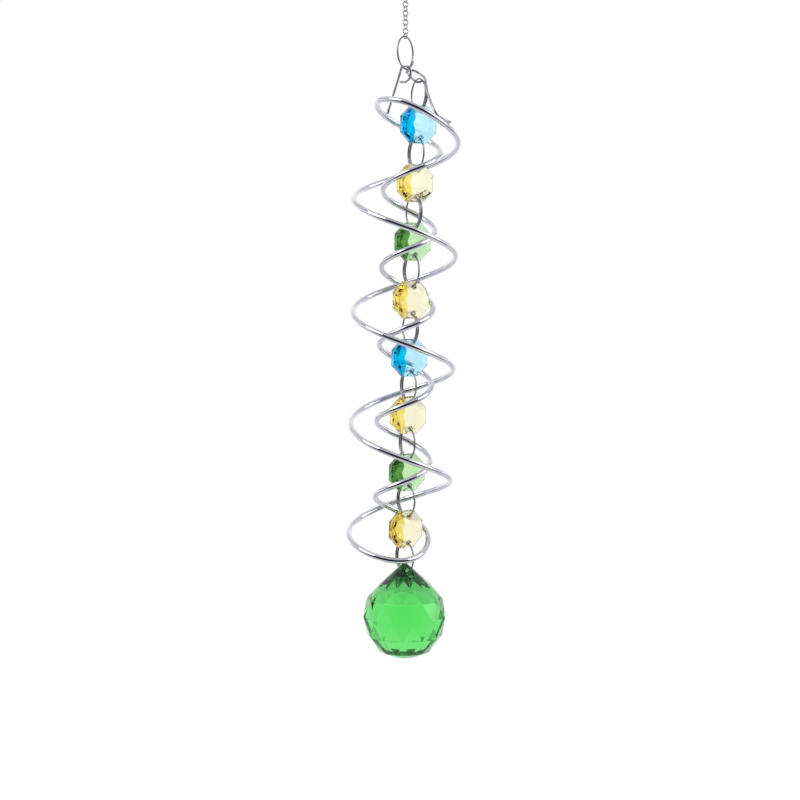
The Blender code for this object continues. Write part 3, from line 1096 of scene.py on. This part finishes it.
@dataclass
class CutStone:
    """A faceted crystal: the hull of its corners, its arrises softened, bored through."""

    corners: Sequence[Vector]
    holes: Sequence[tuple[float, float]]
    bore_length: float
    arris: float
    # The next two fields pick the faces that get painted shade: those whose centres lie past a
    # distance along a direction.
    painted_shade_way: Vector
    painted_shade_from: float
    bore_sides: int = 40
    flat_within: float = math.radians(0.6)

    def faceted(self) -> bpy.types.Mesh:
        """The solid before it is bored, in metres, its arrises and painted-shade faces marked."""
        shape = bmesh.new()
        for corner in self.corners:
            shape.verts.new(corner * MM)
        made = bmesh.ops.convex_hull(shape, input=shape.verts)
        loose = [item for item in made["geom_interior"] if isinstance(item, bmesh.types.BMVert)]
        bmesh.ops.delete(shape, geom=loose, context="VERTS")
        bmesh.ops.dissolve_limit(shape, angle_limit=self.flat_within, verts=shape.verts,
                                 edges=shape.edges)
        bmesh.ops.recalc_face_normals(shape, faces=shape.faces)
        cut = bmesh.ops.bevel(shape, geom=shape.edges, offset=self.arris * MM, segments=1,
                              affect="EDGES", profile=0.5, clamp_overlap=True)
        softened = set(cut["faces"])
        arris = shape.faces.layers.float.new("arris")
        facet = shape.faces.layers.float.new("facet")
        painted_shade = shape.faces.layers.float.new("painted_shade")
        for number, face in enumerate(shape.faces):
            face[arris] = 1.0 if face in softened else 0.0
            face[facet] = (number * 37 % 11) / 10
            # faces reaching past the given distance get painted shade
            reach = face.calc_center_median().dot(self.painted_shade_way) / MM
            face[painted_shade] = 1.0 if reach > self.painted_shade_from else 0.0
        return plain_mesh("stone", shape)

    def cutter(self, height: float, radius: float) -> bpy.types.Object:
        """A drill along Y."""
        shape = bmesh.new()
        bmesh.ops.create_cone(shape, cap_ends=True, segments=self.bore_sides,
                              radius1=radius * MM, radius2=radius * MM,
                              depth=self.bore_length * MM,
                              matrix=Matrix.Translation((0, 0, height * MM))
                              @ Matrix.Rotation(math.pi / 2, 4, "X"))
        return add_object("drill", plain_mesh("drill", shape))

    def mesh(self) -> bpy.types.Mesh:
        """The bored stone in metres."""
        stone = add_object("stone", self.faceted())
        drills = [self.cutter(height, radius) for height, radius in self.holes]
        for drill in drills:
            bore = stone.modifiers.new("bore", "BOOLEAN")
            bore.object = drill
            bore.operation = "DIFFERENCE"
            bore.solver = "EXACT"
        mesh = evaluated(stone)
        for scratch in (stone, *drills):
            bpy.data.objects.remove(scratch)
        mesh.materials.clear()
        return mesh


@dataclass
class BeadString:
    """Nine split rings and eight octagon beads in turn."""

    shop: Workshop
    lean: Matrix
    turn: float = math.radians(27)
    last_turn: float = math.radians(36)
    across: float = 13.5
    rim: float = 2.2
    thick: float = 5.4
    table: float = 3.3
    star: tuple[float, float] = (5.15, 2.0)
    hole: float = 1.1
    hole_height: float = 4.675
    arris: float = 0.07
    # facets more than this far to the bead's -X side get painted shade, a deeper tint
    painted_shade_from: float = 3.2
    colours: tuple[Crystal, ...] = (Crystal.BLUE, Crystal.YELLOW, Crystal.GREEN, Crystal.YELLOW,
                                    Crystal.BLUE, Crystal.YELLOW, Crystal.GREEN, Crystal.YELLOW)
    doubled_near: tuple[bool, ...] = (True, False, True, False, True, False, False, False, False)

    def stone(self) -> CutStone:
        """An octagon bead about its own centre."""
        rim_radius = self.across / 2 / math.cos(math.pi / 8)
        star_radius, star_height = self.star
        corners = []
        for side in (-1, 1):
            for radius, offset, y in ((self.table, 0.0, self.thick / 2),
                                      (star_radius, 0.5, star_height),
                                      (rim_radius, 0.5, self.rim / 2)):
                corners += [Vector((x, side * y, z)) for x, z in corner_ring(radius, 8, offset)]
        holes = [(side * self.hole_height, self.hole) for side in (-1, 1)]
        return CutStone(corners, holes, 3 * self.thick, self.arris, Vector((-1, 0, 0)),
                        self.painted_shade_from)

    def build(self) -> None:
        """Make the rings and the beads."""
        bead = self.stone().mesh()
        turns = [self.turn] * (len(self.colours) - 1) + [self.last_turn, self.turn]
        for number, near in enumerate(self.doubled_near):
            name = f"ring_{number + 1}"
            hook = Matrix.Translation(Joint.named(f"{name}_twist").pivot) @ self.lean
            turn = (turns[number] + turns[max(number - 1, 0)]) / 2 - math.pi / 2
            mesh = self.shop.ring(SPLIT_RING, RING_STEEL)
            centre = Vector((0, 0, -SPLIT_RING.radius * MM))
            mesh.transform(hook @ SPLIT_RING.placement(centre, turn, 0.0 if near else math.pi))
            self.shop.hand_over(f"split_{name}", name, RING_STEEL, mesh)
        for number, colour in enumerate(self.colours, 1):
            hook = Matrix.Translation(Joint.named(f"bead_{number}_twist").pivot) @ self.lean
            place = hook @ Matrix.Rotation(turns[number - 1], 4, "Z")
            mesh = bead.copy()
            mesh.transform(place @ Matrix.Translation((0, 0, -self.hole_height * MM)))
            self.shop.hand_over(f"bead_{number}_{colour.name.lower()}", f"bead_{number}",
                                colour.value, mesh)


@dataclass
class CrystalBall:
    """The faceted drop at the end of the string."""

    shop: Workshop
    turn: float = math.radians(27)
    sides: int = 12
    tip: float = 3.4
    hole: float = 1.4
    hole_drop: float = 2.83
    bore_length: float = 27.6
    arris: float = 0.1
    # facets within this depth of the tip get painted shade, a near-black green
    painted_shade_tip: float = 6.3
    rows: tuple[tuple[float, float, float], ...] = (
        (0.0, 0.9, 0.0), (5.2, 6.55, 0.0), (7.5, 9.2, 0.5), (12.7, 13.7, 0.0), (19.0, 15.3, 0.5),
        (26.2, 13.6, 0.0), (32.0, 9.1, 0.5), (33.9, 4.7, 0.0))

    def build(self) -> None:
        """Make the ball."""
        corners = []
        for depth, radius, offset in self.rows:
            corners += [Vector((x, y, self.tip - depth))
                        for x, y in corner_ring(radius, self.sides, offset)]
        stone = CutStone(corners, [(self.tip - self.hole_drop, self.hole)], self.bore_length,
                         self.arris, Vector((0, 0, 1)), self.tip - self.painted_shade_tip)
        mesh = stone.mesh()
        hook = Joint.named("ball_swing").pivot
        mesh.transform(Matrix.Translation(hook) @ Matrix.Rotation(self.turn, 4, "Z"))
        self.shop.hand_over("crystal_ball", "ball", Crystal.EMERALD.value, mesh)


# ------------------------------------------------------------------ studio

@dataclass
class Studio:
    """A pale room with a round floor, soft light and the camera. Sizes in metres."""

    eye: Vector = Vector((-0.00194, -0.600, -0.12182))
    target: Vector = Vector((-0.00194, 0.0, -0.17215))
    lens: float = 75.37
    floor_height: float = -0.62
    floor_radius: float = 0.4
    lamp_size: float = 0.8
    lamps: tuple[tuple[str, Vector, float], ...] = (
        ("soft_left", Vector((-0.85, -0.55, 0.55)), 4.5),
        ("soft_right", Vector((0.95, -0.40, 0.30)), 3.5))

    FLOOR_TONE = (0.86, 0.86, 0.87, 1.0)
    FLOOR_ROUGHNESS = 0.85
    LOW_WALL = (0.30, 0.30, 0.34, 1.0)
    HIGH_WALL = (0.52, 0.52, 0.58, 1.0)
    BACK_WALL = (0.66, 0.66, 0.72, 1.0)
    WALL_RISE = (-0.7, 0.6)
    BACK_RISE = (-0.15, 0.35)
    SIDE_RISE = (0.30, 0.75)
    BAND_TONE = (0.10, 0.10, 0.12, 1.0)
    BAND_START = (0.16, 0.26)
    BAND_STOP = (0.30, 0.44)
    BAND_SHARE = 0.5
    BOX_TONE = (1.05, 1.05, 1.10, 1.0)
    BOX_STOP = (0.04, 0.27)
    PATCH_TONE = (0.015, 0.015, 0.02, 1.0)
    PATCH_WIDTH = 0.95
    PATCH_HEIGHT = 0.6
    PATCH_EDGE = (0.6, 1.2)
    PATCH_FRONT = (0.0, 0.2)
    PATCH_LOST_IN_GLASS = 0.75
    GLOW_BACK = (0.5, 0.88)
    GLOW_RISE = (-0.7, -0.3)
    WHITE = (1.0, 1.0, 1.0, 1.0)

    def camera(self) -> None:
        """Put the camera in front of the object."""
        data = bpy.data.cameras.new("camera")
        data.sensor_width = 36.0
        data.sensor_fit = "HORIZONTAL"
        data.lens = self.lens
        data.clip_start = 0.01
        camera = add_object("camera", data)
        camera.matrix_world = aimed(self.eye, self.target)
        bpy.context.scene.camera = camera

    def floor(self) -> None:
        """A round, pale floor well below the ball."""
        shape = bmesh.new()
        bmesh.ops.create_circle(shape, cap_ends=True, segments=96, radius=self.floor_radius,
                                matrix=Matrix.Translation((0, 0, self.floor_height)))
        floor = add_object("floor", plain_mesh("floor", shape))
        material = bpy.data.materials.new("pale_floor")
        material.use_nodes = True
        shader = material.node_tree.nodes["Principled BSDF"]
        shader.inputs["Base Color"].default_value = self.FLOOR_TONE
        shader.inputs["Roughness"].default_value = self.FLOOR_ROUGHNESS
        floor.data.materials.append(material)

    def room(self) -> None:
        """The room's walls: white behind, grey ahead, a dark patch in front, lit at the sides.

        The side lights are long level boxes with a dim band above and below each, which give
        the wire its dark and bright lines. The crystals see little of the dark patch.
        """
        world = bpy.data.worlds.new("room")
        world.use_nodes = True
        bpy.context.scene.world = world
        graph = Graph(world.node_tree)
        direction = graph.node("ShaderNodeTexCoord").other("Generated")
        x = graph.node("ShaderNodeSeparateXYZ", {}, {0: direction})
        y, z = x.other(1), x.other(2)
        rays = graph.node("ShaderNodeLightPath")
        level = abs(z)
        sides = abs(x).ease(*self.SIDE_RISE)
        walls = graph.mix(z.ease(*self.WALL_RISE), self.LOW_WALL, self.HIGH_WALL)
        walls = graph.mix(y.ease(*self.BACK_RISE), walls, self.BACK_WALL)
        bands = level.ease(*self.BAND_START) * (1.0 - level.ease(*self.BAND_STOP))
        walls = graph.mix(bands * sides * self.BAND_SHARE, walls, self.BAND_TONE)
        walls = graph.mix((1.0 - level.ease(*self.BOX_STOP)) * sides, walls, self.BOX_TONE)
        oval = (x / self.PATCH_WIDTH) ** 2.0 + (z / self.PATCH_HEIGHT) ** 2.0
        patch = (1.0 - oval.ease(*self.PATCH_EDGE)) * (0.0 - y).ease(*self.PATCH_FRONT)
        patch = patch * (1.0 - rays.other("Is Transmission Ray") * self.PATCH_LOST_IN_GLASS)
        walls = graph.mix(patch, walls, self.PATCH_TONE)
        glow = y.ease(*self.GLOW_BACK) * z.ease(*self.GLOW_RISE)
        seen = graph.mix(glow, walls, self.WHITE)
        graph.feed(world.node_tree.nodes["Background"].inputs["Color"],
                   graph.mix(rays.other("Is Camera Ray"), seen, self.WHITE))

    def lamp(self, name: str, place: Vector, power: float) -> None:
        """A square soft light aimed at the object, its power in watts."""
        data = bpy.data.lights.new(name, "AREA")
        data.shape = "SQUARE"
        data.size = self.lamp_size
        data.energy = power
        add_object(name, data).matrix_world = aimed(place, self.target)

    def build(self) -> None:
        """Set the room up."""
        self.camera()
        self.floor()
        self.room()
        for name, place, power in self.lamps:
            self.lamp(name, place, power)
        bpy.context.scene.view_settings.view_transform = "Standard"


def main() -> None:
    """Build every sub-assembly in order, then the studio."""
    logging.basicConfig(level=logging.INFO, format="%(name)s: %(message)s")
    shop = Workshop()
    HangRing(shop).build()
    Swivel(shop).build()
    Chain(shop).build()
    TopRing(shop).build()
    spiral = Spiral(shop)
    spiral.build()
    BeadString(shop, spiral.lean).build()
    CrystalBall(shop).build()
    Studio().build()


if __name__ == "__main__":
    main()
